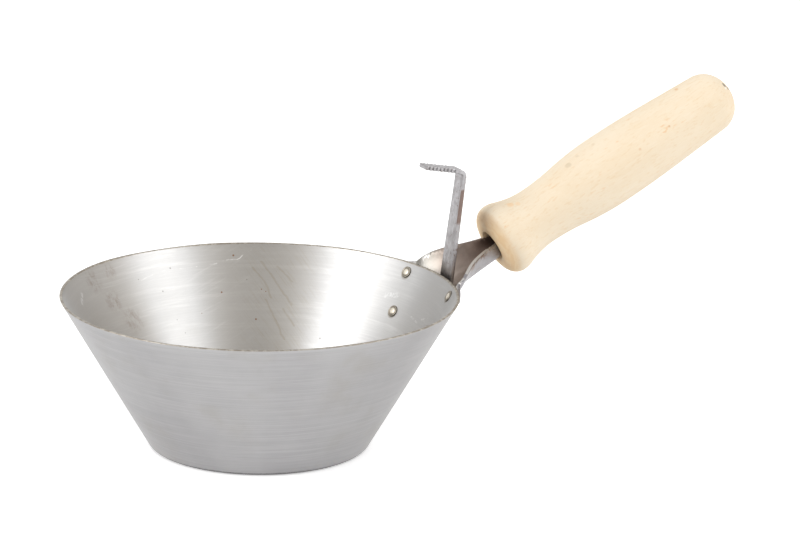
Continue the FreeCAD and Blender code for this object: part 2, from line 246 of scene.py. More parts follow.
# %% Grip sizes
GRIP_STEPS = 160
GRIP_LENGTH = 154.0 * MM
BORE_RADIUS = 6.8 * MM
BORE_DEPTH = 78.0 * MM
MOUTH_RADIUS = 8.4 * MM
MOUTH_DEPTH = 5.0 * MM
DRILL_POINT = 2.5 * MM
MOUTH_FLARE = 0.7 * MM
MOUTH_ROUND = 0.35 * MM
FACE_DOME = (0.45 * MM, 12.0 * MM)
# (along, radius) in millimetres
FACE_EDGE = Vector((1.3, 14.6))
FLANGE = Vector((7.8, 19.3))
WAIST = Vector((29.5, 15.4))
BELLY = Vector((75.0, 18.9))
TAPER = Vector((109.0, 17.95))
# Where the curve turns the other way, as a share of the way to the next of these points.
FLANGE_SHARE = 0.23
WAIST_SHARE = 0.42
SHOULDER_ROUND = 13.5
NOSE_ROUND = 18.6


# %% [markdown]
# Each arc leaves its first point in the direction in which the one before arrived, so only the
# points have to be given. The end is two arcs, a tight shoulder and a wide nose. Where they meet
# is worked out, so that the nose's centre stays on the axis.

# %% Grip outline
def arc_to(start, end, heading, steps=10):
    """Points after start on the arc that leaves start at a heading, and the heading at its end."""
    chord = end - start
    turn = 2 * (math.atan2(chord.y, chord.x) - heading)
    if abs(turn) < 1e-4:
        return [start.lerp(end, i / steps) for i in range(1, steps + 1)], heading
    radius = chord.length / (2 * math.sin(turn / 2))
    centre = start + Vector((-math.sin(heading), math.cos(heading))) * radius
    points = []
    for i in range(1, steps + 1):
        spoke = Matrix.Rotation(turn * i / steps, 2) @ (start - centre)
        points.append(centre + spoke)
    return points, heading + turn


def arc_chain(stops, heading):
    """Tangent arcs through the stops."""
    points = []
    for start, end in zip(stops, stops[1:]):
        more, heading = arc_to(start, end, heading)
        points += more
    return points, heading


def rounded_end(start, heading, length):
    """A straight taper, the shoulder's round and the nose's round, to the tip on the axis."""
    nose_centre = Vector((length - NOSE_ROUND, 0.0))
    way = Vector((math.cos(heading), math.sin(heading)))
    inwards = Vector((way.y, -way.x))
    track = start + inwards * SHOULDER_ROUND - nose_centre
    gap = NOSE_ROUND - SHOULDER_ROUND
    run = math.sqrt(track.dot(way) ** 2 - track.dot(track) + gap ** 2) - track.dot(way)
    shoulder_centre = nose_centre + track + way * run
    taper_end = shoulder_centre - inwards * SHOULDER_ROUND
    joint = nose_centre + (shoulder_centre - nose_centre) * (NOSE_ROUND / gap)
    taper = [start.lerp(taper_end, i / 16) for i in range(1, 17)]
    shoulder, turned = arc_to(taper_end, joint, heading, 14)
    nose, _ = arc_to(joint, Vector((length, 0.0)), turned, 14)
    return taper + shoulder + nose


def grip_outline():
    """The turned outline in millimetres, from the face's edge to the tip."""
    stops = [
        FACE_EDGE, FLANGE, FLANGE.lerp(WAIST, FLANGE_SHARE),
        WAIST, WAIST.lerp(BELLY, WAIST_SHARE), BELLY, TAPER,
    ]
    corner = FLANGE - FACE_EDGE
    points, heading = arc_chain(stops, 2 * math.atan2(corner.y, corner.x))
    return [FACE_EDGE] + points + rounded_end(TAPER, heading, GRIP_LENGTH / MM)


# %% Grip mesh
def make_grip():
    outline = [Vector((p.x, p.y, 0.0)) * MM for p in grip_outline()]
    bore = [Vector((along, radius, 0.0)) for along, radius in (
        (BORE_DEPTH + DRILL_POINT, 0.0),
        (BORE_DEPTH, BORE_RADIUS),
        (MOUTH_DEPTH, BORE_RADIUS),
        (MOUTH_DEPTH * 0.4, BORE_RADIUS + MOUTH_FLARE),
        (MOUTH_ROUND, MOUTH_RADIUS - 0.25 * MM),
        (0.0, MOUTH_RADIUS + MOUTH_ROUND),
        FACE_DOME,
    )]
    outline[-1] = Vector((GRIP_LENGTH, 0.0, 0.0))
    bm = bmesh.new()
    geometry = chain_edges(bm, bore + outline)
    bmesh.ops.spin(
        bm, geom=geometry, cent=(0, 0, 0), axis=(1, 0, 0),
        angle=math.tau, steps=GRIP_STEPS, use_merge=True,
    )
    bmesh.ops.transform(bm, matrix=HANDLE_FRAME, verts=bm.verts)
    return finish_mesh(bm, "ladle_grip")


grip = make_grip()
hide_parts("grip")
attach(grip, "root")


# %% [markdown]
# ## Bracket and hook
#
# Both are sheet or bar, cut and bent, so their forms are already right in the frame. What they
# lack is the cut edge: no sheared edge is razor sharp. A copy of each is merged, and a small bevel
# on its sharp edges catches the light as a real cut edge does.

# %% Softened copies
def softened_copy(node, name, width, sharp_angle):
    """A merged copy of a frame node with its sharp edges rounded."""
    bm = bmesh.new()
    bm.from_mesh(NODES[node].data)
    bmesh.ops.remove_doubles(bm, verts=bm.verts, dist=0.003 * MM)
    bmesh.ops.dissolve_degenerate(bm, edges=bm.edges, dist=0.003 * MM)
    data = bpy.data.meshes.new(name)
    bm.to_mesh(data)
    bm.free()
    for polygon in data.polygons:
        polygon.use_smooth = True
    piece = new_piece(name, data)
    bevel = piece.modifiers.new("edges", "BEVEL")
    bevel.width = width
    bevel.segments = 2
    bevel.limit_method = "ANGLE"
    bevel.angle_limit = math.radians(sharp_angle)
    bevel.harden_normals = True
    print(name, "faces", len(data.polygons))
    return piece


# %% [markdown]
# The bracket's two sides are finished differently, so each point carries a number that says which
# side it is on. The cut edge lies between a point of the one and a point of the other, and its
# number runs from 0 to 1 across it, which is enough to give the edge a finish of its own.

# %% Bracket mesh
GUTTER_OPENS = 6.0 * MM


def mark_inside(piece):
    """Gives each point 1 where it faces the handle's axis and 0 where it faces away."""
    inside = piece.data.attributes.new("inside", "FLOAT", "POINT")
    for vert in piece.data.vertices:
        run = (vert.co - MOUTH).dot(ALONG)
        to_axis = MOUTH + ALONG * run + ABOVE * GUTTER_OPENS - vert.co
        inside.data[vert.index].value = 1.0 if to_axis.dot(vert.normal) > 0 else 0.0
    print(piece.name, "inside points", sum(point.value for point in inside.data))


bracket = softened_copy("handle_bracket", "ladle_bracket", 0.3 * MM, 50)
mark_inside(bracket)
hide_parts("handle_bracket")
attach(bracket, "root")

# %% Hook mesh
hook = softened_copy("hook", "ladle_hook", 0.28 * MM, 40)
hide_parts("hook")
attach(hook, "root")


# %% [markdown]
# ## Rivets
#
# A rivet is a short pin with a pan head outside. Its other end, inside the bowl, was hammered in a
# dished tool, which leaves a flat crown in the middle, a groove round it and a raised ring. One
# half section makes a rivet, spin turns it, and the four are set square to the wall. A number on
# each point says how rubbed it is and how much painted light it gets, so that the steel can be
# bright on the crown, rubbed and with a painted highlight, and dark in the groove, dirty and with
# painted shade.

# %% Rivet mesh
RIVET_PLACES = [(-15.4, 72.5), (-13.8, 54.0), (14.4, 72.5), (12.8, 54.0)]
RIVET_STEPS = 40
# (radius, distance outwards from the wall's outer face, both in millimetres, and how rubbed, with
# painted light: high is bright, low is dark)
RIVET_SECTION = [
    (0.0, -2.06, 1.0), (0.9, -2.05, 1.0), (1.55, -1.98, 0.9), (1.85, -1.72, 0.1),
    (2.15, -1.66, 0.0), (2.45, -1.86, 0.25), (2.75, -1.88, 0.3), (3.0, -1.66, 0.1),
    (3.05, -1.22, 0.0), (2.0, -1.2, 0.0), (2.0, 2.0, 0.0), (3.8, 2.05, 0.0),
    (3.8, 2.95, 0.2), (3.6, 3.3, 0.35), (3.1, 3.55, 0.4), (1.6, 3.72, 0.45), (0.0, 3.75, 0.45),
]


def rivet_frame(azimuth, height_mm):
    """Turns +Z to point out of the wall at a place on the bowl."""
    height = height_mm * MM
    flat = polar(azimuth, 1.0, 0.0)
    outwards = flat * math.cos(WALL_ANGLE) - Vector((0, 0, math.sin(WALL_ANGLE)))
    turn = outwards.to_track_quat("Z", "Y").to_matrix().to_4x4()
    return Matrix.Translation(polar(azimuth, wall_radius(height), height)) @ turn


def make_rivets():
    bm = bmesh.new()
    wear_and_light = bm.verts.layers.float.new("wear_and_light")
    for azimuth, height_mm in RIVET_PLACES:
        old = set(bm.verts)
        chain = chain_edges(bm, [Vector((r, 0.0, z)) * MM for r, z, _ in RIVET_SECTION])
        # Each point's number holds rubbing and painted light together: high paints the crown
        # bright, low paints the groove dark.
        for vert, (_, _, amount) in zip(chain, RIVET_SECTION):
            vert[wear_and_light] = amount
        bmesh.ops.spin(
            bm, geom=chain, cent=(0, 0, 0), axis=(0, 0, 1),
            angle=math.tau, steps=RIVET_STEPS, use_merge=True,
        )
        new = [vert for vert in bm.verts if vert not in old]
        bmesh.ops.transform(bm, matrix=rivet_frame(azimuth, height_mm), verts=new)
    return finish_mesh(bm, "ladle_rivets")


rivets = make_rivets()
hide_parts("rivets")
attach(rivets, "root")


# %% [markdown]
# ## Materials
#
# A finish is a small graph of nodes: a place on the surface goes in, passes through noise and
# limits, and comes out as a colour, a roughness or a height. All of them read the object's own
# coordinates, in metres, so that a mark has a size and a place that can be measured. Linking
# nodes by hand is long, so each helper below adds one node, or a short row of nodes, and gives
# back the socket that comes out.

# %% Material and sockets
def new_material(name):
    material = bpy.data.materials.new(name)
    material.use_nodes = True
    tree = material.node_tree
    return material, tree, tree.nodes["Principled BSDF"]


def new_metal(name):
    material, tree, shader = new_material(name)
    shader.inputs["Metallic"].default_value = 1.0
    return material, tree, shader


def feed(tree, socket, value):
    """Links a socket, or sets a number, a point or a colour on it."""
    if isinstance(value, bpy.types.NodeSocket):
        tree.links.new(value, socket)
    elif socket.type == "RGBA":
        socket.default_value = (*value, 1.0)
    else:
        socket.default_value = value


# %% [markdown]
# ### Places and noise
#
# Noise is the same in all directions. To draw it out along a grain or a direction of rubbing, the
# place is squeezed along that direction before the noise reads it.

# %% Places and noise
def place_of(tree):
    """The point on the piece that is being coloured."""
    return tree.nodes.new("ShaderNodeTexCoord").outputs["Object"]


def parts_of(tree, vector):
    """The X, Y and Z of a point."""
    node = tree.nodes.new("ShaderNodeSeparateXYZ")
    feed(tree, node.inputs["Vector"], vector)
    return tuple(node.outputs[axis] for axis in "XYZ")


def joined(tree, *parts):
    """A point from one to three numbers."""
    node = tree.nodes.new("ShaderNodeCombineXYZ")
    for axis, part in zip("XYZ", parts):
        feed(tree, node.inputs[axis], part)
    return node.outputs["Vector"]


def mapped(tree, vector, scale=(1, 1, 1), turn=(0, 0, 0), shift=(0, 0, 0)):
    node = tree.nodes.new("ShaderNodeMapping")
    feed(tree, node.inputs["Vector"], vector)
    feed(tree, node.inputs["Location"], shift)
    feed(tree, node.inputs["Rotation"], turn)
    feed(tree, node.inputs["Scale"], scale)
    return node.outputs["Vector"]


def noise_at(tree, vector, scale, detail=2.0, roughness=0.5, twist=0.0):
    node = tree.nodes.new("ShaderNodeTexNoise")
    feed(tree, node.inputs["Vector"], vector)
    feed(tree, node.inputs["Scale"], scale)
    feed(tree, node.inputs["Detail"], detail)
    feed(tree, node.inputs["Roughness"], roughness)
    feed(tree, node.inputs["Distortion"], twist)
    return node.outputs["Fac"]


def number_on(tree, name):
    """A number that the mesh carries on its points."""
    node = tree.nodes.new("ShaderNodeAttribute")
    node.attribute_name = name
    return node.outputs["Fac"]


# %% [markdown]
# ### Arithmetic
#
# Masks are numbers from 0 to 1. Multiplied, they hold where all of them hold. The largest of them
# holds where any of them does.

# %% Arithmetic
def figure(tree, operation, *values):
    """One step of arithmetic."""
    node = tree.nodes.new("ShaderNodeMath")
    node.operation = operation
    for socket, value in zip(node.inputs, values):
        feed(tree, socket, value)
    return node.outputs["Value"]


def vector_figure(tree, operation, *values):
    """One step of arithmetic on points. Lengths and dot products come out as numbers."""
    node = tree.nodes.new("ShaderNodeVectorMath")
    node.operation = operation
    for socket, value in zip(node.inputs, values):
        feed(tree, socket, value)
    return node.outputs["Value" if operation in ("LENGTH", "DOT_PRODUCT") else "Vector"]


def limit(tree, value, low, high, start=0.0, end=1.0):
    """Start below low, end above high, and a smooth passage between."""
    node = tree.nodes.new("ShaderNodeMapRange")
    node.interpolation_type = "SMOOTHSTEP"
    names = ("Value", "From Min", "From Max", "To Min", "To Max")
    for name, number in zip(names, (value, low, high, start, end)):
        feed(tree, node.inputs[name], number)
    return node.outputs["Result"]


def times(tree, *shares):
    product = shares[0]
    for share in shares[1:]:
        product = figure(tree, "MULTIPLY", product, share)
    return product


def any_of(tree, shares):
    """The strongest of several marks."""
    strongest = shares[0]
    for share in shares[1:]:
        strongest = figure(tree, "MAXIMUM", strongest, share)
    return strongest


# %% [markdown]
# ### Layers and relief
#
# A finish is painted from the bottom up, each colour laid over the last where its mask says so.
# The relief comes last: it tilts the light on the surface but doesn't move it, so it is kept for
# what is too fine to model.

# %% Layers and relief
def layer(tree, share, under, over):
    """Lays one colour over another where the share says so."""
    node = tree.nodes.new("ShaderNodeMix")
    node.data_type = "RGBA"
    feed(tree, node.inputs["Factor"], share)
    colours = [socket for socket in node.inputs if socket.type == "RGBA"]
    feed(tree, colours[0], under)
    feed(tree, colours[1], over)
    return next(socket for socket in node.outputs if socket.type == "RGBA")


def relief(tree, shader, height, depth, strength):
    """Bumps on the surface, with their depth in metres."""
    node = tree.nodes.new("ShaderNodeBump")
    feed(tree, node.inputs["Height"], height)
    feed(tree, node.inputs["Strength"], strength)
    feed(tree, node.inputs["Distance"], depth)
    feed(tree, shader.inputs["Normal"], node.outputs["Normal"])


# %% [markdown]
# ### Marks
#
# A stroke is a straight mark between two points, such as a scratch. For every point on the
# surface, the nodes find the nearest point of the line and compare the distance with the mark's
# width. A spot is a round mark. Both follow from distances alone, so they stay sharp at any zoom,
# where a painted picture would not. Noise added to the place makes a mark wander or tear.

# %% Marks
def stroke(tree, place, start, end, width):
    along = end - start
    from_start = vector_figure(tree, "SUBTRACT", place, start)
    run = vector_figure(tree, "DOT_PRODUCT", from_start, along)
    held = tree.nodes.new("ShaderNodeClamp")
    feed(tree, held.inputs["Value"], figure(tree, "DIVIDE", run, along.length_squared))
    nearest = tree.nodes.new("ShaderNodeVectorMath")
    nearest.operation = "SCALE"
    feed(tree, nearest.inputs["Vector"], along)
    feed(tree, nearest.inputs["Scale"], held.outputs["Result"])
    offset = vector_figure(tree, "SUBTRACT", from_start, nearest.outputs["Vector"])
    distance = vector_figure(tree, "LENGTH", offset)
    return limit(tree, distance, width * 0.35, width, 1.0, 0.0)


def polyline(tree, place, points, width):
    return any_of(tree, [stroke(tree, place, a, b, width) for a, b in zip(points, points[1:])])


def spot(tree, place, centre, radius, soft=0.5):
    offset = vector_figure(tree, "SUBTRACT", place, centre)
    distance = vector_figure(tree, "LENGTH", offset)
    return limit(tree, distance, radius * soft, radius, 1.0, 0.0)


def shaken(tree, place, scale, reach):
    """The place, pushed about by noise, so that a mark's line wanders."""
    node = tree.nodes.new("ShaderNodeTexNoise")
    feed(tree, node.inputs["Vector"], place)
    feed(tree, node.inputs["Scale"], scale)
    push = vector_figure(tree, "SUBTRACT", node.outputs["Color"], (0.5, 0.5, 0.5))
    push = vector_figure(tree, "MULTIPLY", push, (reach, reach, reach))
    return vector_figure(tree, "ADD", place, push)


# %% [markdown]
# ## Bowl steel
#
# The sheet is plain steel, rubbed with fine abrasive while the bowl turned, so its lines run level
# round the wall. An anisotropic shader could draw out the highlights, but the lines themselves
# show in the real thing, so they are noise: it reads the radius plus the height, which is the same
# all round a ring, and changes fast up the wall and slowly round it.
#
# Marks that only the inside has are held to it by a mask that asks how far in a point lies from
# the outer face. A sector is a mask for one side of the bowl.

# %% Bowl steel: lines and masks
LINES_UP = 1500.0
LINES_ROUND = 22.0


def ring_lines(tree, place):
    """A place to read level lines from, and the radius and height it came from."""
    x, y, height = parts_of(tree, place)
    radius = vector_figure(tree, "LENGTH", vector_figure(tree, "MULTIPLY", place, (1.0, 1.0, 0.0)))
    level = figure(tree, "ADD", radius, height)
    rings = joined(
        tree, times(tree, x, LINES_ROUND), times(tree, y, LINES_ROUND), times(tree, level, LINES_UP)
    )
    return rings, radius, height


def inside_of_bowl(tree, radius, height):
    outer = figure(tree, "MULTIPLY_ADD", height, WALL_SLOPE, BASE_RADIUS)
    depth = figure(tree, "SUBTRACT", outer, radius)
    return limit(tree, depth, 0.5 * BOWL_SHEET, 0.8 * BOWL_SHEET)


def sector(tree, place, azimuth, full, faded):
    """1 within so many degrees of an azimuth, fading to 0."""
    flat = vector_figure(tree, "MULTIPLY", place, (1.0, 1.0, 0.0))
    way = vector_figure(tree, "NORMALIZE", flat)
    facing = vector_figure(tree, "DOT_PRODUCT", way, polar(azimuth, 1.0, 0.0))
    return limit(tree, facing, math.cos(math.radians(faded)), math.cos(math.radians(full)))


# %% [markdown]
# ### Scratches in the bowl
#
# A tool's corner left a pale scratch that wanders down from the rim and fades out to the left.
# Across the middle, a trowel scraped the bowl out many times, all one way, and left tan lines: a
# few that can be counted, and a field of fine ones, which are noise drawn out along the same way.
# Fainter pale ones cross them. Each place is an azimuth in degrees and a height in millimetres.

# %% Scratches in the bowl
PALE_SCRATCH = [(66.5, 77), (73.5, 70), (76, 70), (80.5, 68.5), (89, 67.5)]
FAINT_SCRATCH = [(89, 67.5), (97, 68), (104.5, 66.5), (108, 65.5)]
TAN_SCRATCHES = [
    [(65.5, 69), (60, 58.5), (54.5, 49.5)],
    [(64, 51), (60.5, 43), (56, 33)],
    [(60.5, 67), (55, 60)],
    [(68.5, 66), (64, 59), (62, 52)],
    [(57.5, 47), (52.5, 39.5)],
]
SCRAPED_FROM = (65.5, 68.9)
SCRAPED_TO = (52.7, 48.0)
SCRATCH_PALE = (0.78, 0.77, 0.75)
SCRATCH_TAN = (0.27, 0.22, 0.14)
SCRAPE_TAN = (0.33, 0.28, 0.20)
SCRAPE_PALE = (0.72, 0.71, 0.69)


def on_inner_wall(places):
    return [inner_wall(azimuth, height) for azimuth, height in places]


def long_scratches(tree, place):
    """Masks for the pale scratch and for the tan ones."""
    wander = shaken(tree, place, 260.0, 1.6 * MM)
    strong = polyline(tree, wander, on_inner_wall(PALE_SCRATCH), 0.4 * MM)
    faint = polyline(tree, wander, on_inner_wall(FAINT_SCRATCH), 0.35 * MM)
    broken = limit(tree, noise_at(tree, place, 330.0, 3.0), 0.35, 0.6, 0.25, 1.0)
    pale = any_of(tree, [times(tree, strong, 0.7), times(tree, faint, 0.35)])
    tan = any_of(tree, [
        polyline(tree, wander, on_inner_wall(places), 0.8 * MM) for places in TAN_SCRATCHES
    ])
    return times(tree, pale, broken), tan


def scrapes(tree, place):
    """Masks for the field of fine scrapes and for the pale ones that cross them."""
    way = (inner_wall(*SCRAPED_TO) - inner_wall(*SCRAPED_FROM)).normalized()
    side = way.cross(polar(60.0, 1.0, 0.0)).normalized()
    long_way = vector_figure(tree, "DOT_PRODUCT", place, way)
    cross_way = vector_figure(tree, "DOT_PRODUCT", place, side)
    fine_place = joined(tree, times(tree, long_way, 60.0), times(tree, cross_way, 1800.0))
    fine = limit(tree, noise_at(tree, fine_place, 1.0, 3.0, 0.65), 0.50, 0.66)
    across_place = joined(tree, times(tree, long_way, 900.0), times(tree, cross_way, 45.0))
    across = limit(tree, noise_at(tree, across_place, 1.0, 3.0, 0.65), 0.54, 0.7)
    return (
        times(tree, sector(tree, place, 59.0, 4.0, 19.0), fine),
        times(tree, sector(tree, place, 105.0, 15.0, 45.0), across),
    )


# %% [markdown]
# ### Stains and dots in the bowl
#
# Brown stains lie towards the left, a few pale smears stand where mortar dried, and rust and dirt
# left single dots. Dirt also gathers round each rivet's tail, where no cloth gets in. A stain is
# a soft spot broken up by noise, and a dot is a hard one. Each has an azimuth in degrees, a height
# and a radius in millimetres, and a smear has two places and a width.

# %% Stains and dots in the bowl
BROWN_STAINS = [(129, 71.5, 9), (119.5, 73, 6), (124, 60, 9), (118, 49, 10)]
RUST_DOTS = [
    (74.5, 72, 0.7), (79.5, 55, 0.6), (67.5, 42, 0.65), (65.5, 56, 0.45),
    (64, 55, 0.4), (88, 46, 0.35),
]
DARK_DOTS = [
    (96, 68.5, 0.6), (101, 58.5, 0.55), (98.5, 44.5, 0.4), (41, 35, 0.55),
    (96.5, 38, 0.4), (70.5, 60.5, 0.4), (34, 57, 0.35), (109, 66, 0.4),
]
PALE_SMEARS = [
    ((19, 60.5), (14, 62), 2.0), ((-5.5, 57), (-9, 59), 0.7),
    ((2, 55.5), (-3.5, 54.5), 0.6), ((139, 70), (143, 66), 1.6),
]
RIVET_DIRT_RADIUS = 3.7 * MM
STAIN_BROWN = (0.25, 0.205, 0.165)
SMEAR_PALE = (0.72, 0.72, 0.71)
RUST_BROWN = (0.22, 0.10, 0.045)
DIRT_DARK = (0.13, 0.12, 0.10)
RIVET_DIRT = (0.22, 0.19, 0.145)


def dots(tree, place, places, soft=0.5):
    return any_of(tree, [
        spot(tree, place, inner_wall(azimuth, height), radius * MM, soft)
        for azimuth, height, radius in places
    ])


def stained(tree, place):
    blotches = noise_at(tree, mapped(tree, place, (1.0, 1.0, 0.4)), 420.0, 6.0, 0.7, 0.4)
    return times(tree, dots(tree, place, BROWN_STAINS, 0.2), limit(tree, blotches, 0.40, 0.66))


def smeared(tree, place, fine):
    smears = any_of(tree, [
        stroke(tree, place, inner_wall(*start), inner_wall(*end), width * MM)
        for start, end, width in PALE_SMEARS
    ])
    return times(tree, smears, 0.5, limit(tree, fine, 0.42, 0.62))


def rivet_dirt(tree, place):
    return any_of(tree, [
        spot(tree, place, inner_wall(*at), RIVET_DIRT_RADIUS, 0.72) for at in RIVET_PLACES
    ])


def bowl_marks(tree, place, steel, fine):
    """Lays the marks of use on the steel's colour."""
    pale, tan = long_scratches(tree, place)
    scraped, crossed = scrapes(tree, place)
    for share, colour in (
        (times(tree, stained(tree, place), 0.52), STAIN_BROWN),
        (times(tree, scraped, 0.24), SCRAPE_TAN),
        (times(tree, crossed, 0.13), SCRAPE_PALE),
        (times(tree, tan, 0.26), SCRATCH_TAN),
        (smeared(tree, place, fine), SMEAR_PALE),
        (pale, SCRATCH_PALE),
        (times(tree, dots(tree, place, RUST_DOTS), 0.85), RUST_BROWN),
        (times(tree, dots(tree, place, DARK_DOTS), 0.6), DIRT_DARK),
        (times(tree, rivet_dirt(tree, place), 0.6), RIVET_DIRT),
    ):
        steel = layer(tree, share, steel, colour)
    return steel


# %% [markdown]
# ### The steel, inside and out
#
# The ground is cloudy grey with rubbed lines and warmer clouds. The inside is rubbed brighter, but
# both of its ends are duller, and the scraped middle carries a painted dark reflection of the room
# behind the camera. The foot has a dark line of painted contact shadow and reflection, and the rim
# is a sheared edge, brown with rust, with pale glints painted where it is burred.

# %% Bowl steel: the finish
STEEL_SHADED = (0.365, 0.358, 0.364)
STEEL_LIGHT = (0.415, 0.410, 0.412)
STEEL_LINES = (0.52, 0.515, 0.515)
STEEL_WARM = (0.35, 0.325, 0.29)
INSIDE_BRIGHT = (0.60, 0.595, 0.575)
INSIDE_RUBBED = (0.66, 0.655, 0.64)
INSIDE_LEFT = (0.36, 0.33, 0.295)
INSIDE_RIGHT = (0.36, 0.35, 0.34)
INSIDE_PAINTED_REFLECTION = (0.335, 0.305, 0.265)
FOOT_PAINTED_SHADOW = (0.10, 0.095, 0.095)
RIM_BROWN = (0.245, 0.205, 0.155)
RIM_BURR_GLINTS = (0.47, 0.43, 0.36)


def bowl_ground(tree, place, brushing, clouds):
    """The steel's colour on both sides."""
    steel = layer(tree, limit(tree, clouds, 0.32, 0.68), STEEL_SHADED, STEEL_LIGHT)
    steel = layer(tree, limit(tree, brushing, 0.35, 0.8, 0.0, 0.5), steel, STEEL_LINES)
    warm = noise_at(tree, mapped(tree, place, shift=(3.1, 0.4, 0.0)), 34.0, 4.0, 0.6)
    return layer(tree, limit(tree, warm, 0.5, 0.75, 0.0, 0.35), steel, STEEL_WARM)


def bowl_inside(tree, place, rings, steel):
    """The inside's own tones, with a painted dark reflection where the wall faces the camera,
    before its marks.
    """
    streaks = noise_at(tree, mapped(tree, rings, (1.0, 1.0, 0.16)), 1.0, 4.0, 0.65)
    for share, colour in (
        (0.42, INSIDE_BRIGHT),
        (times(tree, limit(tree, streaks, 0.5, 0.72), 0.35), INSIDE_RUBBED),
        (times(tree, sector(tree, place, 134.0, 8.0, 30.0), 0.6), INSIDE_LEFT),
        (times(tree, sector(tree, place, -9.0, 7.0, 20.0), 0.5), INSIDE_RIGHT),
        # Painted reflection: a darker warm band on the wall straight across from the camera, where
        # it mirrors the dark room behind it.
        (times(tree, sector(tree, place, 67.0, 5.0, 24.0), 0.6), INSIDE_PAINTED_REFLECTION),
    ):
        steel = layer(tree, share, steel, colour)
    return steel


def foot_and_rim(tree, place, height, fine, steel):
    """The painted contact shadow at the foot and the sheared edge at the top, with painted glints
    where it is burred.
    """
    # Painted contact shadow: a dark line round the foot where it meets the table and mirrors the
    # dark contact.
    uneven = figure(tree, "MULTIPLY_ADD", fine, 1.0 * MM, height)
    steel = layer(tree, limit(tree, uneven, 1.0 * MM, 2.4 * MM, 0.95, 0.0), steel, FOOT_PAINTED_SHADOW)
    edge = limit(tree, height, BOWL_HEIGHT - 0.55 * MM, BOWL_HEIGHT - 0.25 * MM)
    # Painted glints: pale ragged bits where the sheared rim is burred; the brown under them is
    # rust.
    burr_glints = limit(tree, noise_at(tree, place, 260.0, 5.0, 0.75), 0.42, 0.62)
    return layer(tree, times(tree, edge, 0.8), steel, layer(tree, burr_glints, RIM_BROWN, RIM_BURR_GLINTS))


def bowl_steel():
    material, tree, shader = new_metal("bowl_steel")
    place = place_of(tree)
    rings, radius, height = ring_lines(tree, place)
    brushing = noise_at(tree, rings, 1.0, 3.0, 0.6)
    clouds = noise_at(tree, place, 20.0, 4.0, 0.6)
    fine = noise_at(tree, mapped(tree, place, (1.0, 1.0, 0.35)), 900.0, 2.0, 0.6)
    inside = inside_of_bowl(tree, radius, height)

    ground = bowl_ground(tree, place, brushing, clouds)
    used = bowl_marks(tree, place, bowl_inside(tree, place, rings, ground), fine)
    steel = layer(tree, inside, ground, used)
    feed(tree, shader.inputs["Base Color"], foot_and_rim(tree, place, height, fine, steel))

    rough = figure(tree, "MULTIPLY_ADD", clouds, 0.10, 0.31)
    rough = figure(tree, "MULTIPLY_ADD", inside, 0.07, rough)
    feed(tree, shader.inputs["Roughness"], figure(tree, "MULTIPLY_ADD", fine, 0.06, rough))
    relief(tree, shader, brushing, 0.000045, 0.3)
    return material


# %% [markdown]
# ## Bracket steel
#
# The bracket was pressed and is not rubbed bright. Outside it keeps the mill's skin, light grey
# with brown scribbles of rust: a scribble is the narrow band in which a noise passes one value.
# Inside, the gutter is bare near the bowl and has a brown coat that darkens towards the grip,
# partly its own tint and partly painted shade deep in the gutter, so its colour follows X. The cut
# edge is bright, and the "inside" number that the mesh carries tells the three apart.

# %% Bracket steel
SKIN_SHADED = (0.31, 0.295, 0.305)
SKIN_LIGHT = (0.40, 0.39, 0.40)
SKIN_RUST = (0.21, 0.14, 0.105)
GUTTER_BARE_SHADED = (0.28, 0.265, 0.235)
GUTTER_BARE_LIGHT = (0.42, 0.405, 0.375)
GUTTER_COAT = (0.36, 0.30, 0.26)
GUTTER_COAT_AND_SHADE = (0.19, 0.14, 0.115)
CUT_EDGE = (0.62, 0.60, 0.57)
COAT_STARTS, COAT_FULL = 104.5 * MM, 113.5 * MM
COAT_AND_SHADE_BEGIN, COAT_AND_SHADE_DEEPEST = 112.0 * MM, 130.0 * MM


def bracket_skin(tree, place, mottle):
    skin = layer(tree, limit(tree, mottle, 0.3, 0.7), SKIN_SHADED, SKIN_LIGHT)
    scribble = noise_at(tree, place, 150.0, 1.0, 0.4, 1.4)
    rusty = times(
        tree,
        limit(tree, scribble, 0.47, 0.5),
        limit(tree, scribble, 0.52, 0.55, 1.0, 0.0),
        limit(tree, noise_at(tree, place, 70.0), 0.44, 0.56),
        0.8,
    )
    return layer(tree, rusty, skin, SKIN_RUST)


def bracket_gutter(tree, place, mottle):
    x, _, _ = parts_of(tree, place)
    reach = figure(tree, "MULTIPLY_ADD", mottle, 5.0 * MM, x)
    bare = layer(tree, limit(tree, mottle, 0.35, 0.7), GUTTER_BARE_SHADED, GUTTER_BARE_LIGHT)
    # Painted shade: the coat darkens towards the grip, deeper into the gutter, on top of its own
    # brown tint.
    darkening = limit(tree, reach, COAT_AND_SHADE_BEGIN, COAT_AND_SHADE_DEEPEST)
    coat_and_shade_colour = layer(tree, darkening, GUTTER_COAT, GUTTER_COAT_AND_SHADE)
    return layer(tree, limit(tree, reach, COAT_STARTS, COAT_FULL), bare, coat_and_shade_colour)


def bracket_steel():
    material, tree, shader = new_metal("bracket_steel")
    place = place_of(tree)
    mottle = noise_at(tree, place, 240.0, 4.0, 0.6)
    skin = bracket_skin(tree, place, mottle)
    gutter = bracket_gutter(tree, place, mottle)
    across = number_on(tree, "inside")
    steel = layer(tree, limit(tree, across, 0.3, 0.7), skin, gutter)
    off_outside = limit(tree, across, 0.02, 0.1)
    off_inside = limit(tree, across, 0.9, 0.98, 1.0, 0.0)
    steel = layer(tree, times(tree, off_outside, off_inside, 0.85), steel, CUT_EDGE)
    feed(tree, shader.inputs["Base Color"], steel)
    feed(tree, shader.inputs["Roughness"], limit(tree, mottle, 0.3, 0.8, 0.36, 0.52))
    relief(tree, shader, mottle, 0.00015, 0.35)
    return material


# %% [markdown]
# ## Hook steel
#
# The hook is hot-rolled bar, mottled grey all over. One stretch of its near edge rusted where the
# skin came off, its foot is dirty from the mortar, and small rust dots are scattered on it.

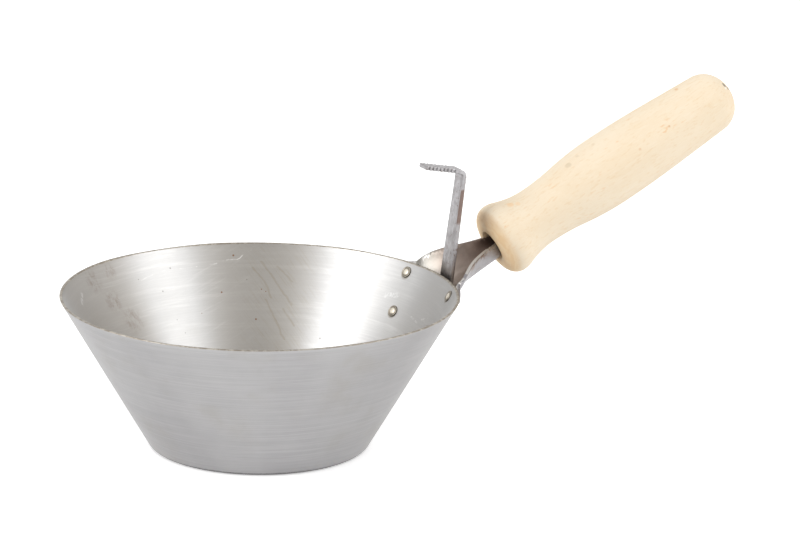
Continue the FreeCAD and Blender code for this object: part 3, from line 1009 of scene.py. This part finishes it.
# %% Hook steel
BAR_SHADED = (0.35, 0.335, 0.34)
BAR_LIGHT = (0.47, 0.46, 0.47)
BAR_DULL = (0.30, 0.285, 0.285)
BAR_RUST = (0.19, 0.125, 0.10)
BAR_FOOT = (0.20, 0.17, 0.15)
BAR_DOTS = (0.17, 0.11, 0.085)


def hook_steel():
    material, tree, shader = new_metal("hook_steel")
    place = place_of(tree)
    mottle = noise_at(tree, mapped(tree, place, (1.0, 1.0, 0.45)), 420.0, 4.0, 0.65)
    broad = noise_at(tree, place, 90.0, 2.0)
    _, y, z = parts_of(tree, place)
    wobble = figure(tree, "MULTIPLY_ADD", mottle, 4.0 * MM, z)
    rusty = times(
        tree,
        limit(tree, wobble, 105.5 * MM, 107.0 * MM),
        limit(tree, wobble, 123.2 * MM, 124.5 * MM, 1.0, 0.0),
        limit(tree, y, -4.4 * MM, -4.1 * MM, 1.0, 0.0),
        0.85,
    )
    dirty = limit(tree, wobble, 81.5 * MM, 86.5 * MM, 0.65, 0.0)
    dotted = limit(tree, noise_at(tree, place, 620.0, 3.0), 0.60, 0.70, 0.0, 0.6)

    steel = layer(tree, limit(tree, mottle, 0.32, 0.68), BAR_SHADED, BAR_LIGHT)
    steel = layer(tree, limit(tree, broad, 0.5, 0.7, 0.0, 0.4), steel, BAR_DULL)
    for share, colour in ((rusty, BAR_RUST), (dirty, BAR_FOOT), (dotted, BAR_DOTS)):
        steel = layer(tree, share, steel, colour)
    feed(tree, shader.inputs["Base Color"], steel)
    feed(tree, shader.inputs["Roughness"], limit(tree, mottle, 0.3, 0.7, 0.46, 0.34))
    relief(tree, shader, mottle, 0.00018, 0.4)
    return material


# %% [markdown]
# ## Rivet steel
#
# A rivet is rubbed bright on its crown and keeps its dirt in the groove, and on top of that the
# crown has a painted highlight and the groove painted shade. The number on its points says where,
# and grit in the noise keeps the border between the two ragged.

# %% Rivet steel
GROOVE_DIRT_AND_SHADE = (0.22, 0.195, 0.16)
CROWN_WEAR_AND_HIGHLIGHT = (0.66, 0.61, 0.52)


def rivet_steel():
    material, tree, shader = new_metal("rivet_steel")
    grit = noise_at(tree, place_of(tree), 800.0, 3.0, 0.6)
    wear_and_light_share = figure(tree, "SUBTRACT", number_on(tree, "wear_and_light"), 0.17)
    ragged_wear_and_light = figure(tree, "MULTIPLY_ADD", grit, 0.35, wear_and_light_share)
    # Dark groove: dirt and painted shade. Bright crown: rubbed steel and a painted highlight.
    steel = layer(tree, limit(tree, ragged_wear_and_light, 0.1, 0.75), GROOVE_DIRT_AND_SHADE, CROWN_WEAR_AND_HIGHLIGHT)
    feed(tree, shader.inputs["Base Color"], steel)
    feed(tree, shader.inputs["Roughness"], 0.42)
    relief(tree, shader, grit, 0.0001, 0.3)
    return material


# %% [markdown]
# ## Beech
#
# Beech is pale and even. What tells it from other pale woods are its short flecks, a few
# millimetres long and darker than the ground, all along the grain. A place in the grip's own frame
# puts the grain along its axis, and noise squeezed that way draws the flecks out. The face by the
# mouth shows end grain, soaked a darker tan, and it is darker and greyer on its upper side.

# %% Beech: the wood
WOOD_PALE = (0.85, 0.73, 0.56)
WOOD_DEEP = (0.825, 0.685, 0.50)
WOOD_HAIRS = (0.87, 0.765, 0.62)
WOOD_FLECKS = (0.76, 0.56, 0.33)
WOOD_BOLD_FLECKS = (0.82, 0.47, 0.20)
FACE_TAN = (0.80, 0.56, 0.31)
FACE_RINGS = (0.88, 0.72, 0.50)
FACE_UPPER_DARK = (0.52, 0.37, 0.25)


def beech_ground(tree, local, flecks, clouds):
    hairs = noise_at(tree, mapped(tree, local, (0.05, 1.0, 1.0)), 1500.0, 2.0, 0.6)
    scarce = noise_at(tree, mapped(tree, local, (0.4, 1.0, 1.0)), 110.0)
    bold = times(tree, limit(tree, scarce, 0.60, 0.68), limit(tree, flecks, 0.56, 0.64, 0.0, 0.38))
    wood = layer(tree, limit(tree, clouds, 0.35, 0.7), WOOD_PALE, WOOD_DEEP)
    wood = layer(tree, limit(tree, hairs, 0.45, 0.75, 0.0, 0.4), wood, WOOD_HAIRS)
    wood = layer(tree, limit(tree, flecks, 0.53, 0.68, 0.0, 0.38), wood, WOOD_FLECKS)
    return layer(tree, bold, wood, WOOD_BOLD_FLECKS)


def beech_face(tree, local, clouds, wood):
    """The soaked end grain by the mouth and the darker stretch above it."""
    along, _, above = parts_of(tree, local)
    uneven = figure(tree, "MULTIPLY_ADD", clouds, 4.0 * MM, along)
    face = limit(tree, uneven, 3.8 * MM, 8.0 * MM, 0.85, 0.0)
    rings = limit(tree, noise_at(tree, mapped(tree, local, (3.0, 0.5, 0.5)), 420.0), 0.45, 0.6)
    upper = limit(tree, above, 9.0 * MM, 17.5 * MM)
    upper_dark = times(tree, upper, limit(tree, along, 2.0 * MM, 6.0 * MM, 1.0, 0.0), 0.5)
    wood = layer(tree, face, wood, FACE_TAN)
    wood = layer(tree, times(tree, face, rings, 0.5), wood, FACE_RINGS)
    return layer(tree, upper_dark, wood, FACE_UPPER_DARK)


# %% [markdown]
# ### Marks on the grip
#
# A few things happened to this one: a faint square mark and two smaller ones on top, resin spots,
# and a dark chip torn out of the far end with pale wood beside it. Each is a ragged spot, placed
# by its way along the grip and its turn about the axis. Its radius follows from the outline.

# %% Beech: marks
# (along in millimetres, azimuth, size in millimetres, colour, share)
GRIP_SPOTS = [
    (54.5, 106, 2.3, (0.62, 0.50, 0.34), 0.5),
    (61.5, 102, 1.3, (0.66, 0.54, 0.38), 0.4),
    (72, 101, 1.4, (0.70, 0.55, 0.36), 0.4),
    (128, 91, 1.4, (0.72, 0.40, 0.17), 0.6),
    (17, 106, 2.6, (0.86, 0.55, 0.26), 0.5),
    (20.5, 112, 1.8, (0.86, 0.58, 0.30), 0.4),
    (150, 138, 1.5, (0.15, 0.12, 0.10), 0.85),
    (151, 150, 1.2, (0.22, 0.18, 0.15), 0.8),
    (149.5, 147, 1.1, (0.93, 0.90, 0.84), 0.7),
    (110, 150.5, 0.9, (0.66, 0.40, 0.20), 0.6),
    (89.5, 155.5, 0.9, (0.70, 0.45, 0.25), 0.5),
]


def grip_radius(along_mm):
    """The grip's radius in millimetres at a place along it."""
    outline = grip_outline()
    for near, far in zip(outline, outline[1:]):
        if near.x <= along_mm <= far.x:
            return near.y + (far.y - near.y) * (along_mm - near.x) / (far.x - near.x)
    raise ValueError("not on the grip")


def beech():
    material, tree, shader = new_material("beech")
    place = place_of(tree)
    from_mouth = vector_figure(tree, "SUBTRACT", place, MOUTH)
    local = mapped(tree, from_mouth, turn=HANDLE_FRAME.inverted().to_euler("XYZ"))
    flecks = noise_at(tree, mapped(tree, local, (0.26, 1.0, 1.0)), 950.0, 3.0, 0.6)
    clouds = noise_at(tree, mapped(tree, local, (0.3, 1.0, 1.0)), 60.0, 3.0, 0.55, 0.3)

    wood = beech_ground(tree, local, flecks, clouds)
    wood = beech_face(tree, local, clouds, wood)
    ragged = shaken(tree, place, 500.0, 1.6 * MM)
    for along, azimuth, size, colour, share in GRIP_SPOTS:
        mark = spot(tree, ragged, on_grip(along, azimuth, grip_radius(along)), size * MM)
        wood = layer(tree, times(tree, mark, share), wood, colour)
    feed(tree, shader.inputs["Base Color"], wood)
    feed(tree, shader.inputs["Roughness"], limit(tree, flecks, 0.4, 0.7, 0.55, 0.7))
    feed(tree, shader.inputs["Specular IOR Level"], 0.3)
    relief(tree, shader, flecks, 0.00012, 0.35)
    return material


# %% [markdown]
# ## Putting the finishes on
#
# Each piece takes one finish for all its faces. The copies of the frame's meshes arrive with a
# plain material, so the slots are cleared first.

# %% Put the finishes on
def coat(piece, material):
    piece.data.materials.clear()
    piece.data.materials.append(material)
    print(piece.name, "nodes", len(material.node_tree.nodes))


coat(bowl, bowl_steel())
coat(grip, beech())
coat(bracket, bracket_steel())
coat(hook, hook_steel())
coat(rivets, rivet_steel())


# %% [markdown]
# ## Camera
#
# A long lens from well back, a little above the rim, looks across the bowl with the handle going
# away to the right. The camera stands at a turn about Z, a distance and a height, and is rolled
# by one degree.

# %% Camera
VIEW_TURN = math.radians(24.0)
CAMERA_BACK = 1932.1 * MM
CAMERA_UP = 620.5 * MM
AIM_RIGHT = math.radians(2.074)
AIM_DOWN = math.radians(15.275)
CAMERA_ROLL = math.radians(0.991)


def make_camera():
    lens = bpy.data.cameras.new("studio_camera")
    lens.sensor_width = 36.0
    lens.lens = 180.0
    lens.clip_start = 0.1
    lens.clip_end = 50.0
    camera = bpy.data.objects.new("studio_camera", lens)
    bpy.context.scene.collection.objects.link(camera)
    turned = Matrix.Rotation(-VIEW_TURN, 4, "Z")
    look = Vector((
        math.sin(AIM_RIGHT) * math.cos(AIM_DOWN),
        math.cos(AIM_RIGHT) * math.cos(AIM_DOWN),
        -math.sin(AIM_DOWN),
    ))
    camera.location = turned @ Vector((0.0, -CAMERA_BACK, CAMERA_UP))
    aim = (turned @ look).to_track_quat("-Z", "Y")
    camera.rotation_mode = "QUATERNION"
    camera.rotation_quaternion = aim @ Quaternion((0.0, 0.0, 1.0), CAMERA_ROLL)
    bpy.context.scene.camera = camera
    return camera


camera = make_camera()
print("camera at", [round(value, 3) for value in camera.location])


# %% [markdown]
# ## Lamps
#
# The ladle stands on a white table in a white room. Polished steel shows its surroundings, so the
# surroundings are part of the picture: two soft lamps make the two bright bands down the inside of
# the bowl, and a dull brown card near the camera keeps the stretch between them dark. The cone is
# straight up its wall, so each lamp is mirrored as a band from rim to base. The wall is hollow,
# which swaps the sides: the left lamp makes the right band.

# %% Lamps
LOOK_AT = Vector((0.0, 0.0, 50.0 * MM))


def area_lamp(name, place, width, height, power):
    data = bpy.data.lights.new(name, "AREA")
    data.shape = "RECTANGLE"
    data.size = width
    data.size_y = height
    data.energy = power
    lamp = bpy.data.objects.new(name, data)
    bpy.context.scene.collection.objects.link(lamp)
    lamp.location = place
    lamp.rotation_mode = "QUATERNION"
    lamp.rotation_quaternion = (LOOK_AT - place).to_track_quat("-Z", "Y")
    print(name, power, "W")
    return lamp


left_lamp = area_lamp("left_lamp", polar(177.0, 1.9, 1.2), 1.1, 0.9, 20.5)
right_lamp = area_lamp("right_lamp", polar(-44.0, 1.8, 1.2), 0.85, 1.2, 13.0)


# %% [markdown]
# ## Floor, card and background
#
# White surroundings are made by colour, not by more light on the ladle. A switch on the kind of
# ray makes the floor and the room a little brighter only where the camera or a polished surface
# sees them, so that the floor is white and still holds the ladle's shadow.

# %% Switch on the kind of ray
def light_path_switch(tree):
    """1 for what the camera, a mirror or glass sees directly, 0 for plain light."""
    path = tree.nodes.new("ShaderNodeLightPath")
    seen = figure(tree, "MAXIMUM", path.outputs["Is Camera Ray"], path.outputs["Is Glossy Ray"])
    return figure(tree, "MAXIMUM", seen, path.outputs["Is Transmission Ray"])


# %% Floor
FLOOR_HALF = 6.0
FLOOR_COLOUR = (0.92, 0.92, 0.92)
FLOOR_LIFT = 0.3
CAMERA_LIFT = 0.1


def make_floor():
    bm = bmesh.new()
    bmesh.ops.create_grid(bm, x_segments=1, y_segments=1, size=FLOOR_HALF)
    floor = finish_mesh(bm, "floor", smooth=False)
    material, tree, shader = new_material("white_table")
    feed(tree, shader.inputs["Base Color"], FLOOR_COLOUR)
    feed(tree, shader.inputs["Roughness"], 0.9)
    feed(tree, shader.inputs["Emission Color"], (1.0, 1.0, 1.0))
    lift = figure(tree, "MULTIPLY", light_path_switch(tree), FLOOR_LIFT)
    camera_ray = tree.nodes.new("ShaderNodeLightPath").outputs["Is Camera Ray"]
    lift = figure(tree, "MULTIPLY_ADD", camera_ray, CAMERA_LIFT, lift)
    feed(tree, shader.inputs["Emission Strength"], lift)
    floor.data.materials.append(material)
    return floor


floor = make_floor()


# %% Card
CARD_COLOUR = (0.10, 0.08, 0.06)


def make_card(name, place, width, height, colour):
    """A flat board that faces the ladle and is there to be mirrored in it."""
    bm = bmesh.new()
    bmesh.ops.create_grid(bm, x_segments=1, y_segments=1, size=0.5)
    bmesh.ops.scale(bm, vec=(width, height, 1.0), verts=bm.verts)
    aim = (LOOK_AT - place).to_track_quat("Z", "Y").to_matrix().to_4x4()
    bmesh.ops.transform(bm, matrix=Matrix.Translation(place) @ aim, verts=bm.verts)
    card = finish_mesh(bm, name, smooth=False)
    material, tree, shader = new_material(name)
    feed(tree, shader.inputs["Base Color"], colour)
    feed(tree, shader.inputs["Roughness"], 1.0)
    card.data.materials.append(material)
    return card


brown_card = make_card("brown_card", polar(-112.0, 1.7, 1.55), 0.5, 1.0, CARD_COLOUR)


# %% Background
ROOM_LIGHT = 0.79


def make_room():
    """White where it is seen or mirrored, and a plain level of light everywhere else."""
    world = bpy.data.worlds.new("white_room")
    world.use_nodes = True
    tree = world.node_tree
    background = tree.nodes["Background"]
    feed(tree, background.inputs["Color"], (1.0, 1.0, 1.0))
    seen = light_path_switch(tree)
    strength = figure(tree, "MULTIPLY_ADD", seen, 1.0 - ROOM_LIGHT, ROOM_LIGHT)
    feed(tree, background.inputs["Strength"], strength)
    bpy.context.scene.world = world
    return world


room = make_room()
bpy.context.scene.view_settings.view_transform = "Standard"
print("stage:", floor.name, brown_card.name, room.name)
